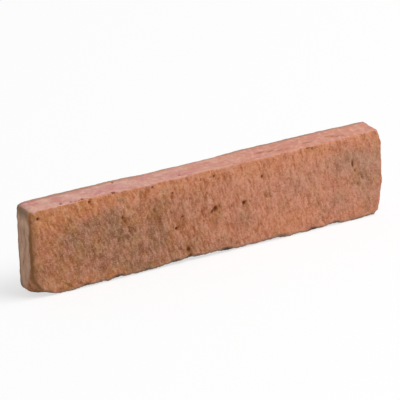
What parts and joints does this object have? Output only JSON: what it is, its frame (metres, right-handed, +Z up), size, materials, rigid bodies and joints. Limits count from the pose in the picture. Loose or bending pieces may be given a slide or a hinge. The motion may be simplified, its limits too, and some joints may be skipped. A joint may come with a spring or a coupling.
{
  "type": "concrete brick veneer",
  "caption": "Thin slip of cast coloured concrete with the worn, pitted face of a hand-moulded brick and a flat back for bonding to a wall.",
  "frame": {"origin": "middle of the lower bed, on the surface that the slip stands on", "axes": "+X along the length, to the right as the show face is seen; +Y from the show face to the flat back; +Z up, from the lower bed to the upper bed"},
  "size_m": [0.22, 0.015, 0.05],
  "materials": {
    "cast_concrete": "matte, as cast, sandy terracotta"
  },
  "bodies": {
    "root": {"brick_veneer": "cast_concrete"}
  },
  "joints": []
}
